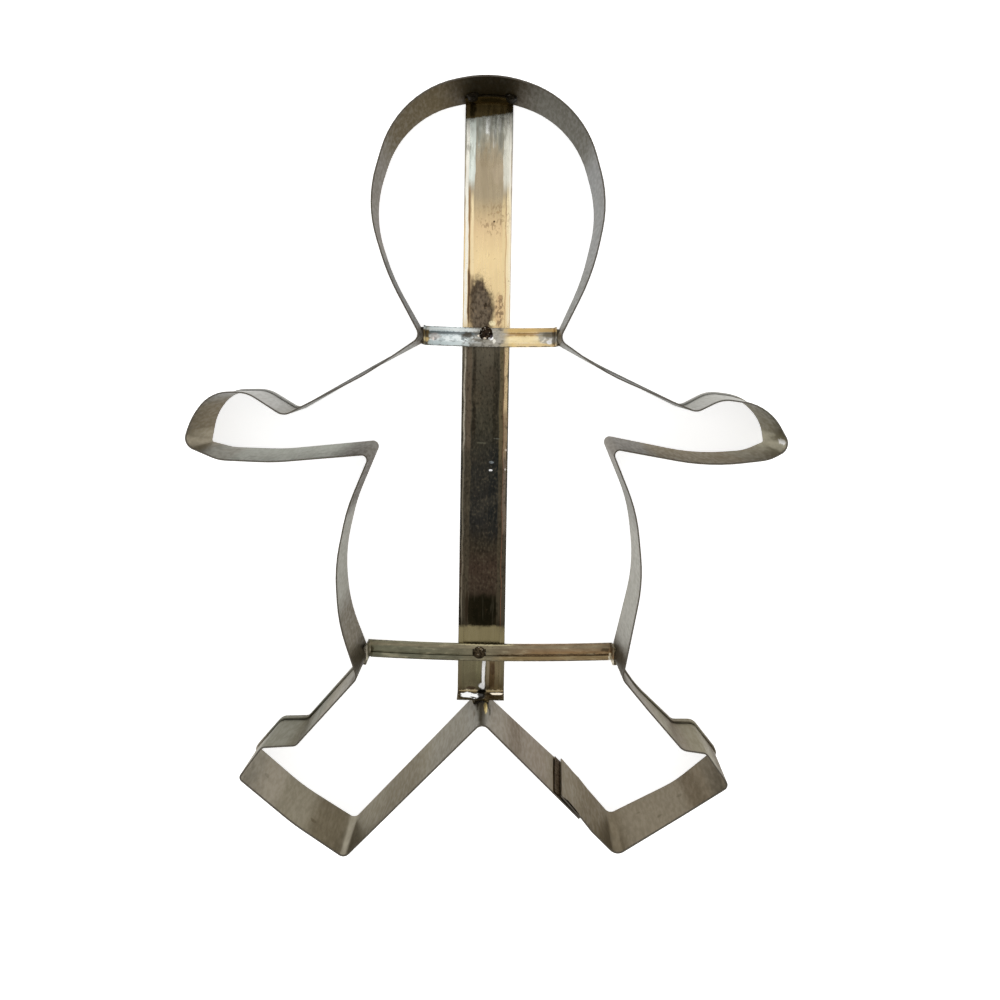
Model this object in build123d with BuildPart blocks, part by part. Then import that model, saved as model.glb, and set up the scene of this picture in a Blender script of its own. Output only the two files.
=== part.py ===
from build123d import *
import os

os.makedirs("parts", exist_ok=True)

# Figure and sheet
figure_height = 206
figure_width = 158
band_depth = 25.4
sheet = 0.4

# Hem of the band's back edge
hem_height = 2.5
hem_gap = 0.12
fold_ease = 0.12

# Lap of the band's two ends on the right leg
lap_wedge = 0.45
lap_land = 1.6
lap_film = 0.1
joggle_run = 4.6
joggle_bend = 3
lap_strip = 2
lap_margin = 0.6

# Strap down the back
strap_width = 13.4
strap_shift = 0.9
strap_hem = 1.5
strap_tab = 7.5
tab_bend = 0.7

# Braces across the strap
neck_brace_width = 5.4
neck_brace_share = 0.18
hip_brace_width = 4.9
hip_brace_share = -0.257
hip_brace_sag = 0.8
neck_brace_sag = 0.3
brace_hem = 1.4
brace_tab = 6

# Solder
solder_film = 0.1
solder_clearance = 0.06
fillet_reach = 2.4
weld_radius = 1.9
weld_sink = 0.9
weld_rise = 3.3
weld_drop = 4.1
left_weld_inset = 2
right_weld_inset = 0.6
pad_length = 7
pad_width = 3.6
dome_radius = 1.9
dome_height = 0.9
neck_dome_rise = 1.3
hip_dome_shift = 0.6

# Corners of the outer face, from the inner end of the lap round to its outer end.
# Each row holds the place across and up on the cutting edge and its bend, in shares of the
# figure's width and height, then how far the back edge stands off it, in shares of the band's
# depth, and the bend there.
outline_shares = [
    ("lap_start", 0.130, -0.419, 0, 0.06, 0.01, 0),
    ("right_toe", 0.230, -0.495, 0.014, 0.03, 0, 0.012),
    ("right_sole", 0.347, -0.437, 0.29, 0.055, -0.075, 0.15),
    ("right_heel", 0.420, -0.400, 0.008, 0.055, 0.01, 0.008),
    ("right_ankle_out", 0.379, -0.356, 0.010, 0.03, 0, 0.013),
    ("right_ankle_in", 0.339, -0.352, 0.015, 0.04, -0.035, 0.012),
    ("right_thigh", 0.278, -0.299, 0.19, -0.035, -0.04, 0.15),
    ("right_hip", 0.235, -0.260, 0.012, 0, 0, 0.012),
    ("right_waist", 0.265, -0.133, 0.22, 0.04, 0, 0.22),
    ("right_rib", 0.252, -0.044, 0.22, 0.035, 0, 0.22),
    ("right_armpit", 0.208, 0.036, 0.006, 0, 0.07, 0.006),
    ("right_cuff", 0.370, 0.015, 0.29, 0.04, 0.045, 0.29),
    ("right_palm", 0.470, 0.025, 0.05, -0.03, 0.01, 0.06),
    ("right_hand", 0.507, 0.041, 0.016, -0.03, -0.015, 0.005),
    ("right_finger", 0.478, 0.079, 0.06, 0.11, -0.06, 0.06),
    ("right_knuckle", 0.447, 0.097, 0.06, 0.045, 0.045, 0.06),
    ("right_thumb", 0.389, 0.103, 0.04, 0.035, 0.035, 0.04),
    ("right_dip", 0.346, 0.086, 0.015, 0, 0.01, 0.015),
    ("right_shoulder", 0.196, 0.133, 0.29, 0, 0.07, 0.29),
    ("right_neck", 0.118, 0.174, 0.011, 0, 0, 0.011),
    ("right_jaw", 0.171, 0.258, 0.29, -0.025, 0.01, 0.29),
    ("right_cheek", 0.194, 0.349, 0.155, -0.01, 0, 0.155),
    ("right_brow", 0.147, 0.471, 0.135, 0, 0, 0.135),
    ("crown", 0.004, 0.506, 0.16, 0, 0, 0.16),
    ("left_brow", -0.153, 0.480, 0.125, -0.035, -0.01, 0.125),
    ("left_cheek", -0.205, 0.342, 0.155, -0.055, 0.025, 0.155),
    ("left_jaw", -0.168, 0.252, 0.29, -0.04, 0.03, 0.29),
    ("left_neck", -0.113, 0.175, 0.011, 0, 0, 0.011),
    ("left_shoulder", -0.203, 0.127, 0.29, 0, 0.08, 0.29),
    ("left_dip", -0.337, 0.073, 0.015, -0.015, 0.015, 0.015),
    ("left_thumb", -0.397, 0.102, 0.04, 0.01, -0.01, 0.04),
    ("left_knuckle", -0.455, 0.102, 0.05, -0.03, -0.02, 0.04),
    ("left_finger", -0.489, 0.070, 0.1, -0.015, 0, 0.07),
    ("left_hand", -0.504, 0.033, 0.016, 0.015, -0.045, 0.005),
    ("left_palm", -0.444, 0.014, 0.05, -0.095, 0.045, 0.07),
    ("left_cuff", -0.354, 0.012, 0.29, -0.08, 0.05, 0.29),
    ("left_armpit", -0.195, 0.024, 0.006, 0, 0.07, 0.006),
    ("left_rib", -0.232, -0.046, 0.22, -0.03, 0, 0.22),
    ("left_waist", -0.251, -0.121, 0.22, -0.045, 0, 0.22),
    ("left_flank", -0.244, -0.194, 0.22, -0.03, 0, 0.22),
    ("left_hip", -0.213, -0.264, 0.010, 0, 0, 0.010),
    ("left_ankle_in", -0.315, -0.353, 0.008, -0.025, -0.045, 0.010),
    ("left_ankle_out", -0.372, -0.356, 0.010, 0.03, -0.03, 0.013),
    ("left_heel", -0.412, -0.398, 0.007, -0.025, -0.045, 0.008),
    ("left_sole", -0.318, -0.458, 0.29, -0.09, -0.01, 0.29),
    ("left_toe", -0.231, -0.503, 0.010, -0.02, -0.03, 0.011),
    ("crotch", -0.001, -0.321, 0.010, -0.03, 0.025, 0.010),
    ("lap_end", 0.165, -0.446, 0, 0.04, 0.03, 0),
]
corner_names = [row[0] for row in outline_shares]
bend_fit_share = 0.96
on_floor = (Align.CENTER, Align.CENTER, Align.MIN)


def left_of(direction):
    return Vector(-direction.Y, direction.X)


def heading(start, end):
    return (end - start).normalized()


def mitre(points, i):
    """Step that moves corner i inward by one unit of its two walls."""
    if i == 0:
        return left_of(heading(points[0], points[1]))
    if i == len(points) - 1:
        return left_of(heading(points[-2], points[-1]))
    before = heading(points[i - 1], points[i])
    after = heading(points[i], points[i + 1])
    return (left_of(before) + left_of(after)) / (1 + before.dot(after))


def turn(points, i):
    """1 where the outline turns toward its inside, -1 where it turns away."""
    before = points[i] - points[i - 1]
    after = points[i + 1] - points[i]
    return 1 if before.cross(after).Z > 0 else -1


def tangent_length(points, bends, i):
    """Length of wall that the bend of corner i takes on each side."""
    if bends[i] == 0:
        return 0
    before = heading(points[i - 1], points[i])
    after = heading(points[i], points[i + 1])
    return bends[i] * abs(before.cross(after).Z) / (1 + before.dot(after))


def fitted_bends(points, bends):
    """Bends limited by the length of the walls that they join."""
    fitted = list(bends)
    for i in range(len(points) - 1):
        wall = (points[i + 1] - points[i]).length
        taken = tangent_length(points, bends, i) + tangent_length(points, bends, i + 1)
        share = bend_fit_share * wall / taken if taken else 1
        for j in (i, i + 1):
            fitted[j] = min(fitted[j], bends[j] * min(1, share))
    return fitted


def outline(height):
    """Corners and bends of the outer face at one height above the back edge."""
    back_share = 1 - height / band_depth
    points = []
    bends = []
    for name, across, up, bend, lean_across, lean_up, back_bend in outline_shares:
        lean = Vector(lean_across, lean_up) * band_depth * back_share
        points.append(Vector(across * figure_width, up * figure_height) + lean - middle)
        bends.append((bend + (back_bend - bend) * back_share) * figure_height)
    return points, fitted_bends(points, bends)


def lap_frame(points):
    """Run direction, inward direction, and the two ends of the lap."""
    run = heading(points[0], points[-1])
    return run, left_of(run), points[0], points[-1]


def whole_strip(height):
    """Outer face of the whole strip, its first end stepped inward to lap inside its last."""
    points, bends = outline(height)
    run, inward, start, end = lap_frame(points)
    stepped = [
        start + inward * (sheet + lap_wedge),
        end - run * lap_land + inward * (sheet + lap_film),
        end + run * sheet + inward * (sheet + lap_film),
        end + run * (sheet + joggle_run),
    ]
    return stepped + points[1:], [0, joggle_bend, joggle_bend, joggle_bend] + bends[1:]


def hemmed_strip(height):
    """Outer face of the part of the strip that carries the hem, from the joggle on."""
    points, bends = outline(height)
    run, inward, start, end = lap_frame(points)
    first = end + run * (sheet + joggle_run + joggle_bend)
    return [first] + points[1:], [0] + bends[1:]


def moved_in(path, distance):
    """Path moved inward by a distance, its bends grown or shrunk to stay parallel."""
    points, bends = path
    moved = [points[i] + mitre(points, i) * distance for i in range(len(points))]
    grown = [0]
    for i in range(1, len(points) - 1):
        grown.append(bends[i] - turn(points, i) * distance)
    return moved, grown + [0]


def between(path, outer, inner):
    """Closed corners and bends of the metal between two distances from the outer face."""
    outer_points, outer_bends = moved_in(path, outer)
    inner_points, inner_bends = moved_in(path, inner)
    return outer_points + inner_points[::-1], outer_bends + inner_bends[::-1]


def bend_centre(name, height):
    """Centre and radius of the bend at a named corner of the outer face."""
    points, bends = outline(height)
    i = corner_names.index(name)
    return points[i] + mitre(points, i) * bends[i] * turn(points, i), bends[i]


def ridge(name, direction, height=0):
    """Point of the inner face that stands furthest inward at a corner bent inward."""
    centre, bend = bend_centre(name, height)
    return centre + Vector(*direction) * (bend + sheet)


# Middle of the outline, hem included, so that the origin lies under the figure's middle
hem_reach = sheet + hem_gap
middle = Vector(0, 0)
rim = Curve()
for height, reach in ((0, -hem_reach), (band_depth, 0)):
    points, bends = moved_in(outline(height), reach)
    rim += Pos(0, 0, height) * FilletPolyline(*points, radius=bends[1:-1])
rim_centre = rim.bounding_box().center()
middle = Vector(rim_centre.X, rim_centre.Y)

# Outline band: the wall, the fold under its hem, and the hem's outer leaf
wall_stack = [(0, 0, sheet), (band_depth, 0, sheet)]
fold_stack = [
    (0, fold_ease - hem_reach, sheet / 2),
    (fold_ease, -hem_reach, sheet / 2),
    (sheet, -hem_reach, sheet / 2),
]
leaf_stack = [(sheet, -hem_reach, -hem_gap), (hem_height, -hem_reach, -hem_gap)]
band_stacks = [(whole_strip, wall_stack), (hemmed_strip, fold_stack), (hemmed_strip, leaf_stack)]

with BuildPart() as outline_band:
    for strip, stack in band_stacks:
        for height, outer, inner in stack:
            points, bends = between(strip(height), outer, inner)
            with BuildSketch(Plane.XY.offset(height)):
                with BuildLine():
                    FilletPolyline(*points, radius=bends, close=True)
                make_face()
        loft(ruled=True)
outline_band.part.label = "outline_band"
export_step(outline_band.part, "parts/outline_band.step")

# Space inside the band and just clear of it, used only to trim the solder there
with BuildPart() as inside:
    for height in (0, band_depth):
        points, bends = moved_in(hemmed_strip(height), sheet + solder_clearance)
        with BuildSketch(Plane.XY.offset(height)):
            with BuildLine():
                FilletPolyline(*points, radius=[0] + bends[1:-1] + [0], close=True)
            make_face()
    loft(ruled=True)

# Strap: flat plate, edges hemmed toward the cutting side, ends bent up as tabs
strap_x = -strap_shift - middle.X
crown, crown_bend = bend_centre("crown", 0)
tab_face = crown_bend - sheet - solder_film
crotch_ridge = ridge("crotch", (0, 1))
strap_low = crotch_ridge.Y + solder_film
strap_edge = max(abs(strap_x - crown.X - side * strap_width / 2) for side in (-1, 1))
strap_high = crown.Y + (tab_face**2 - strap_edge**2) ** (1 / 2)
hem_top = 2 * sheet + hem_gap
hem_low = strap_low + tab_bend
hem_length = strap_high - sheet - tab_bend - hem_low

with BuildPart() as strap_handle:
    with BuildSketch():
        with Locations(crown):
            Circle(tab_face)
        with Locations((strap_x, crown.Y + tab_face / 2)):
            Rectangle(strap_width, tab_face, mode=Mode.INTERSECT)
        with Locations((strap_x, (strap_low + crown.Y) / 2)):
            Rectangle(strap_width, crown.Y - strap_low)
    extrude(amount=sheet)
    with BuildSketch():
        with Locations(crown):
            Circle(tab_face)
            Circle(tab_face - sheet, mode=Mode.SUBTRACT)
        with Locations((strap_x, crown.Y + tab_face / 2)):
            Rectangle(strap_width, tab_face, mode=Mode.INTERSECT)
        with Locations((strap_x, strap_low + sheet / 2)):
            Rectangle(strap_width, sheet)
    extrude(amount=strap_tab)
    low_edges = edges().filter_by(Axis.X).group_by(Axis.Y)
    crown_edges = edges().filter_by(GeomType.CIRCLE)
    fillet(low_edges[0].sort_by(Axis.Z)[0], radius=tab_bend)
    fillet(crown_edges.group_by(Axis.Z)[0], radius=tab_bend)
    for side in (-1, 1):
        with Locations((strap_x + side * (strap_width - sheet) / 2, hem_low + hem_length / 2)):
            Box(sheet, hem_length, hem_top, align=on_floor)
        leaf_x = strap_x + side * (strap_width - strap_hem) / 2
        with Locations((leaf_x, hem_low + hem_length / 2, sheet + hem_gap)):
            Box(strap_hem, hem_length, sheet, align=on_floor)
strap_handle.part.label = "strap_handle"
export_step(strap_handle.part, "parts/strap_handle.step")

# Braces: strips laid over the strap's hems, hemmed toward the cutting side, ends bent as tabs
brace_floor = hem_top
brace_hem_top = brace_floor + hem_top
neck_left = ridge("left_neck", (1, 0)) + Vector(solder_film, 0)
neck_right = ridge("right_neck", (-1, 0)) - Vector(solder_film, 0)
hip_left = ridge("left_hip", (1, 0)) + Vector(solder_film, 0)
hip_right = ridge("right_hip", (-1, 0)) - Vector(solder_film, 0)
neck_y = neck_brace_share * figure_height - middle.Y
hip_y = hip_brace_share * figure_height - middle.Y


def brace_layers(width):
    """Floor, top, low edge and high edge of each layer of a brace of some width."""
    half = width / 2
    leaf_floor = sheet + hem_gap
    return [
        (0, sheet, -half, half),
        (0, hem_top, -half, sheet - half),
        (0, hem_top, half - sheet, half),
        (leaf_floor, hem_top, -half, brace_hem - half),
        (leaf_floor, hem_top, half - brace_hem, half),
    ]


def bowed_strip(left, right, low, high, sag):
    """Corners of a strip between two ends and the middles of its long sides, which sag."""
    centre = (left + right) / 2
    lower = [(left, low), (centre, low - sag), (right, low)]
    return lower + [(right, high), (centre, high - sag), (left, high)]


with BuildPart() as neck_brace:
    left, right = neck_left.X, neck_right.X
    for floor, top, low, high in brace_layers(neck_brace_width):
        corners = bowed_strip(left, right, neck_y + low, neck_y + high, neck_brace_sag)
        length = right - left - 2 * tab_bend if top > sheet else right - left
        with BuildSketch(Plane.XY.offset(brace_floor + floor)):
            with BuildLine():
                ThreePointArc(*corners[:3])
                Line(corners[2], corners[3])
                ThreePointArc(*corners[3:])
                Line(corners[5], corners[0])
            make_face()
            with Locations(((left + right) / 2, neck_y)):
                Rectangle(length, 2 * neck_brace_width, mode=Mode.INTERSECT)
        extrude(amount=top - floor)
    for x in (left + sheet / 2, right - sheet / 2):
        with Locations((x, neck_y, brace_floor)):
            Box(sheet, neck_brace_width, brace_tab, align=on_floor)
neck_brace.part.label = "neck_brace"
export_step(neck_brace.part, "parts/neck_brace.step")

with BuildPart() as hip_brace:
    left, right = hip_left.X, hip_right.X
    for floor, top, low, high in brace_layers(hip_brace_width):
        corners = bowed_strip(left, right, hip_y + low, hip_y + high, hip_brace_sag)
        length = right - left - 2 * tab_bend if top > sheet else right - left
        with BuildSketch(Plane.XY.offset(brace_floor + floor)):
            with BuildLine():
                ThreePointArc(*corners[:3])
                Line(corners[2], corners[3])
                ThreePointArc(*corners[3:])
                Line(corners[5], corners[0])
            make_face()
            with Locations(((left + right) / 2, hip_y)):
                Rectangle(length, 2 * hip_brace_width, mode=Mode.INTERSECT)
        extrude(amount=top - floor)
    for x in (left + sheet / 2, right - sheet / 2):
        with Locations((x, hip_y, brace_floor)):
            Box(sheet, hip_brace_width, brace_tab, align=on_floor)
hip_brace.part.label = "hip_brace"
export_step(hip_brace.part, "parts/hip_brace.step")

# Solder between brace tabs and band, trimmed to the band's inner face and the tab's outer face
tab_middle = brace_floor + brace_tab / 2
fillet_height = brace_tab - sheet
tab_room = (2 * fillet_reach, 4 * fillet_reach, brace_tab)
right_of_face = (Align.MIN, Align.CENTER, Align.CENTER)
left_of_face = (Align.MAX, Align.CENTER, Align.CENTER)

with BuildPart() as neck_left_solder:
    with Locations((neck_left.X, neck_left.Y, tab_middle)):
        Cylinder(fillet_reach, fillet_height)
    add(inside.part, mode=Mode.INTERSECT)
    with Locations((neck_left.X, neck_left.Y, tab_middle)):
        Box(*tab_room, align=right_of_face, mode=Mode.SUBTRACT)
neck_left_solder.part.label = "neck_left_solder"
export_step(neck_left_solder.part, "parts/neck_left_solder.step")

with BuildPart() as neck_right_solder:
    with Locations((neck_right.X, neck_right.Y, tab_middle)):
        Cylinder(fillet_reach, fillet_height)
    add(inside.part, mode=Mode.INTERSECT)
    with Locations((neck_right.X, neck_right.Y, tab_middle)):
        Box(*tab_room, align=left_of_face, mode=Mode.SUBTRACT)
neck_right_solder.part.label = "neck_right_solder"
export_step(neck_right_solder.part, "parts/neck_right_solder.step")

with BuildPart() as hip_left_solder:
    with Locations((hip_left.X, hip_left.Y, tab_middle)):
        Cylinder(fillet_reach, fillet_height)
    add(inside.part, mode=Mode.INTERSECT)
    with Locations((hip_left.X, hip_left.Y, tab_middle)):
        Box(*tab_room, align=right_of_face, mode=Mode.SUBTRACT)
hip_left_solder.part.label = "hip_left_solder"
export_step(hip_left_solder.part, "parts/hip_left_solder.step")

with BuildPart() as hip_right_solder:
    with Locations((hip_right.X, hip_right.Y, tab_middle)):
        Cylinder(fillet_reach, fillet_height)
    add(inside.part, mode=Mode.INTERSECT)
    with Locations((hip_right.X, hip_right.Y, tab_middle)):
        Box(*tab_room, align=left_of_face, mode=Mode.SUBTRACT)
hip_right_solder.part.label = "hip_right_solder"
export_step(hip_right_solder.part, "parts/hip_right_solder.step")

# Solder between the strap's bottom tab and the ridge of the crotch
crotch_room = (4 * fillet_reach, 2 * fillet_reach, strap_tab)
behind_face = (Align.CENTER, Align.MIN, Align.CENTER)

with BuildPart() as crotch_solder:
    with Locations((crotch_ridge.X, strap_low, strap_tab / 2)):
        Cylinder(fillet_reach, strap_tab - 2 * sheet)
    add(inside.part, mode=Mode.INTERSECT)
    with Locations((crotch_ridge.X, strap_low, strap_tab / 2)):
        Box(*crotch_room, align=behind_face, mode=Mode.SUBTRACT)
crotch_solder.part.label = "crotch_solder"
export_step(crotch_solder.part, "parts/crotch_solder.step")

# Welds at the two corners of the strap's top tab, over its edge and on the band above it
weld_low = strap_tab - weld_drop + weld_radius
weld_high = strap_tab + weld_rise - weld_radius
weld_face = tab_face + weld_sink

with BuildPart() as top_left_weld:
    x = strap_x - strap_width / 2 + left_weld_inset
    y = crown.Y + (weld_face**2 - (x - crown.X) ** 2) ** (1 / 2)
    with Locations((x, y, (weld_low + weld_high) / 2)):
        Cylinder(weld_radius, weld_high - weld_low)
    for height in (weld_low, weld_high):
        with Locations((x, y, height)):
            Sphere(weld_radius)
    add(inside.part, mode=Mode.INTERSECT)
    add(strap_handle.part, mode=Mode.SUBTRACT)
top_left_weld.part.label = "top_left_weld"
export_step(top_left_weld.part, "parts/top_left_weld.step")

with BuildPart() as top_right_weld:
    x = strap_x + strap_width / 2 - right_weld_inset
    y = crown.Y + (weld_face**2 - (x - crown.X) ** 2) ** (1 / 2)
    with Locations((x, y, (weld_low + weld_high) / 2)):
        Cylinder(weld_radius, weld_high - weld_low)
    for height in (weld_low, weld_high):
        with Locations((x, y, height)):
            Sphere(weld_radius)
    add(inside.part, mode=Mode.INTERSECT)
    add(strap_handle.part, mode=Mode.SUBTRACT)
top_right_weld.part.label = "top_right_weld"
export_step(top_right_weld.part, "parts/top_right_weld.step")

# Solder pads between strap and braces
pad_height = brace_floor - sheet
neck_mid_y = neck_y - neck_brace_sag
hip_mid_y = hip_y - hip_brace_sag

with BuildPart() as neck_pad_solder:
    with Locations((strap_x, neck_mid_y, sheet)):
        Box(pad_length, pad_width, pad_height, align=on_floor)
neck_pad_solder.part.label = "neck_pad_solder"
export_step(neck_pad_solder.part, "parts/neck_pad_solder.step")

with BuildPart() as hip_pad_solder:
    with Locations((strap_x, hip_mid_y, sheet)):
        Box(pad_length, pad_width, pad_height, align=on_floor)
hip_pad_solder.part.label = "hip_pad_solder"
export_step(hip_pad_solder.part, "parts/hip_pad_solder.step")

# Solder domes on the middles of the braces, cut away over the braces' hems
dome_sphere = (dome_radius**2 + dome_height**2) / (2 * dome_height)
dome_floor = brace_floor + sheet
dome_drop = dome_height + sheet - dome_sphere
dome_room = 2 * dome_radius
hip_dome_x = strap_x - hip_dome_shift
hem_rise = hem_gap + sheet

with BuildPart() as neck_dome_solder:
    with Locations((strap_x, neck_mid_y + neck_dome_rise, dome_floor)):
        Box(dome_room, dome_room, dome_height + sheet, align=on_floor)
    with Locations((strap_x, neck_mid_y + neck_dome_rise, dome_floor + dome_drop)):
        Sphere(dome_sphere, mode=Mode.INTERSECT)
    for side in (-1, 1):
        hem_y = neck_mid_y + side * (neck_brace_width / 2 - brace_hem + dome_room / 2)
        with Locations((strap_x, hem_y, dome_floor)):
            Box(2 * dome_room, dome_room, hem_rise, align=on_floor, mode=Mode.SUBTRACT)
neck_dome_solder.part.label = "neck_dome_solder"
export_step(neck_dome_solder.part, "parts/neck_dome_solder.step")

with BuildPart() as hip_dome_solder:
    with Locations((hip_dome_x, hip_mid_y, dome_floor)):
        Box(dome_room, dome_room, dome_height + sheet, align=on_floor)
    with Locations((hip_dome_x, hip_mid_y, dome_floor + dome_drop)):
        Sphere(dome_sphere, mode=Mode.INTERSECT)
    for side in (-1, 1):
        hem_y = hip_mid_y + side * (hip_brace_width / 2 - brace_hem + dome_room / 2)
        with Locations((hip_dome_x, hem_y, dome_floor)):
            Box(2 * dome_room, dome_room, hem_rise, align=on_floor, mode=Mode.SUBTRACT)
hip_dome_solder.part.label = "hip_dome_solder"
export_step(hip_dome_solder.part, "parts/hip_dome_solder.step")

# Solder in the lap: a film on the outer layer, out past the end of the inner one
with BuildPart() as lap_solder:
    for height in (lap_margin, band_depth - lap_margin):
        points, bends = outline(height)
        run, inward, start, end = lap_frame(points)
        first = start - run * lap_strip + inward * sheet
        last = end - run * sheet + inward * sheet
        over = inward * lap_film
        with BuildSketch(Plane.XY.offset(height)):
            with BuildLine():
                Polyline(first, last, last + over, first + over, close=True)
            make_face()
    loft(ruled=True)
lap_solder.part.label = "lap_solder"
export_step(lap_solder.part, "parts/lap_solder.step")
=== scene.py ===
import bpy
from mathutils import Matrix, Vector

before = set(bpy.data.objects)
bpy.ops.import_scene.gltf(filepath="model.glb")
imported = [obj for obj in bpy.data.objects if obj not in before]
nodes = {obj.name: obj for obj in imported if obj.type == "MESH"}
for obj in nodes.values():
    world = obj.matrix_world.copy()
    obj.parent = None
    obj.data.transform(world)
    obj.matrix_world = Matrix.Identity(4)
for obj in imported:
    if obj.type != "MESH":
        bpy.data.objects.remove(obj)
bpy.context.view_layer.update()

# One millimetre of the model, in metres
millimetre = 0.001

# Camera: place, lens and nearest distance in millimetres, shifts in shares of the picture
camera_place = (2.04, 28.74, 291.4)
camera_forward = (0.00513, -0.05816, -0.99829)
camera_up = (-0.01574, 0.99818, -0.05823)
camera_lens = 36.72
camera_sensor = 36
camera_across_share = -0.0005
camera_up_share = -0.0735
camera_near = 10

# Floor and light, lengths in millimetres
floor_size = 4000
floor_drop = 0.05
floor_white = (0.94, 0.94, 0.94)
floor_glow = 0.69
room_light = 0.95
room_white = (1.0, 0.995, 0.985)
lamp_power = 1.0
lamp_size = 1200
lamp_place = (-350, 600, 900)

# Curve from written to linear colours: where its straight part ends, slope of that part, offset and power
curve_start = 0.04045
curve_slope = 12.92
curve_offset = 0.055
curve_power = 2.4

# Colour of the white marks, most of them painted highlights, which are laid on in their own ways
white = "ffffff"

# How far metal keeps its own colour where it is seen at a slant, and how much smoother a painted highlight
# that shines is
slant_share = 0.52
shine_share = 0.7

# Levels between which most of a noise lies
noise_levels = (0.3, 0.7)

# Waves that make edges and lines uneven: size and detail, then for lines how they are drawn out and the
# step of their seed
edge_waves = (1.6, 3)
slow_waves = (2.2, 2, (1, 3, 1), 50)
quick_waves = (0.9, 3, (1, 1, 1), 60)

# Wear on sheet metal: layer, then size, detail and step of the seed of its noise, then the levels and the
# strength of its dark and of its light part
wear_layers = [
    ("clouds", 7, 4, 0, [(0.52, 0.75, 0.3), (0.48, 0.27, 0.3)]),
    ("streaks", 0.8, 4, 3, [(0.52, 0.78, 0.35), (0.46, 0.25, 0.35)]),
    ("grain", 0.45, 2, 5, [(0.55, 0.8, 0.5)]),
    ("specks", 0.9, 1, 7, [(0.74, 0.78, 0.6)]),
]
streak_depth = 0.008
cloud_depth = 0.12

# Wear of each strip: dark and light colour, how its streaks are drawn out, strength, seed
band_wear = ("5f584a", "a5a196", (1, 1, 5), 0.2, 1)
strap_wear = ("6e5a42", "b5a88c", (1, 9, 1), 0.14, 12)

# Band: colour under all others, seed and roughness, then how soft and how ragged the spots of each table are,
# in shares of their reach
band_tin = "8f8c84"
band_seed = 3
band_roughness = (0.36, 0.5)
zone_edge_shares = (0.35, 0.03)
stain_edge_shares = (0.45, 0.07)
mark_edge_shares = (0.25, 0.2)

# Band's cutting edge, with a painted dark reflection along it, and its foot, laid darker too: colour, heights
# in millimetres and strengths
edge_dark = "57524a"
band_top = 25.4
band_edge = 0.35
band_edge_strength = 0.9
band_foot = 0.7
band_foot_strength = 0.55

# Broad colours along the band: place across and up, reach across and up, colour
band_zones = [
    (0, 20, 100, 70, "93918a"),
    (44, -86, 34, 24, "857c6b"),
    (-44, -86, 34, 26, "8a8372"),
    (58, -72, 14, 10, "827c6b"),
    (-56, -70, 16, 9, "7c7a6e"),
    (59, 5, 24, 9, "887c64"),
    (-56, 4, 20, 6, "adaea5"),
    (66, 22, 15, 7, "abaaa4"),
    (-63, 21, 11, 6, "abaaa6"),
    (42, 24, 15, 8, "8f8e8a"),
    (-38, 24, 17, 8, "8b8a86"),
    (40, -25, 8, 20, "a19f97"),
    (-39, -24, 8, 13, "959389"),
    (-34, -2, 8, 9, "5a5247"),
    (-36, -46, 8, 10, "716a5c"),
    (36, 9, 8, 7, "87827a"),
    (22, 45, 8, 14, "8b8b86"),
    (30, 72, 8, 18, "949492"),
    (20, 96, 14, 12, "6d6a61"),
    (-24, 48, 9, 14, "5d5b55"),
    (-31, 72, 8, 15, "7d766c"),
    (-20, 98, 18, 14, "64583e"),
]

# Stains and lights on the band: place across and up, reach across and up, colour, strength
band_stains = [
    (-0.5, 104, 12, 7, "463c2b", 1),
    (-0.5, 104, 7, 5, "2b2416", 0.85),
    (-77, 13, 8, 7, "867b66", 1),
    (-78, 8, 5, 2.2, "aaa18d", 0.9),
    (-71, 3.5, 3, 2.5, "a5a298", 0.8),
    (76, 15, 7, 8, "807964", 0.9),
    (78, 9.5, 5, 2.5, "b0ab97", 0.9),
    (72, 6, 4, 3, "8d8673", 0.8),
    (60, -87, 4.5, 3.5, "7d7260", 0.8),
    (58.5, -88, 2, 4, "6a5f4d", 0.7),
    (65.6, -81, 3.5, 4, "62594a", 0.9),
    (42, -59, 5, 5, "766e61", 0.7),
    (38, -5, 7, 9, "84827b", 0.8),
    (-59, -87.5, 4, 4, "a0988a", 0.7),
    (64, -83, 2.5, 3, "776f60", 0.7),
    (36, -101, 4, 4, "7a705d", 0.8),
    (30, -95, 6, 6, "766b57", 0.8),
    (8, -74, 4, 4, "766959", 0.8),
    (14, -80, 5, 5, "8d8275", 0.7),
    (4, -70, 4, 4, "8f877a", 0.8),
    (-8, -74, 7, 7, "888377", 0.8),
    (-22, -88, 8, 8, "797160", 0.7),
    (-42, -99, 6, 5, "6c6350", 0.9),
    # Painted highlight on the fold at the left toe
    (-37, -103.2, 1.3, 1.3, "a8a292", 0.7),
    (-64, -82, 3.5, 4, "9a9488", 0.6),
    (-49, -72, 3, 3, "676253", 0.8),
    (53, -72, 3, 3, "7c7366", 0.7),
    (37.6, -52, 3, 4, "50493c", 0.9),
    (-34.8, -52, 2.6, 4, "4f483a", 0.9),
    (19.4, 37, 3, 2.6, "6a6455", 0.8),
    (-18.8, 37, 2.6, 3, "54493a", 0.9),
]

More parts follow.
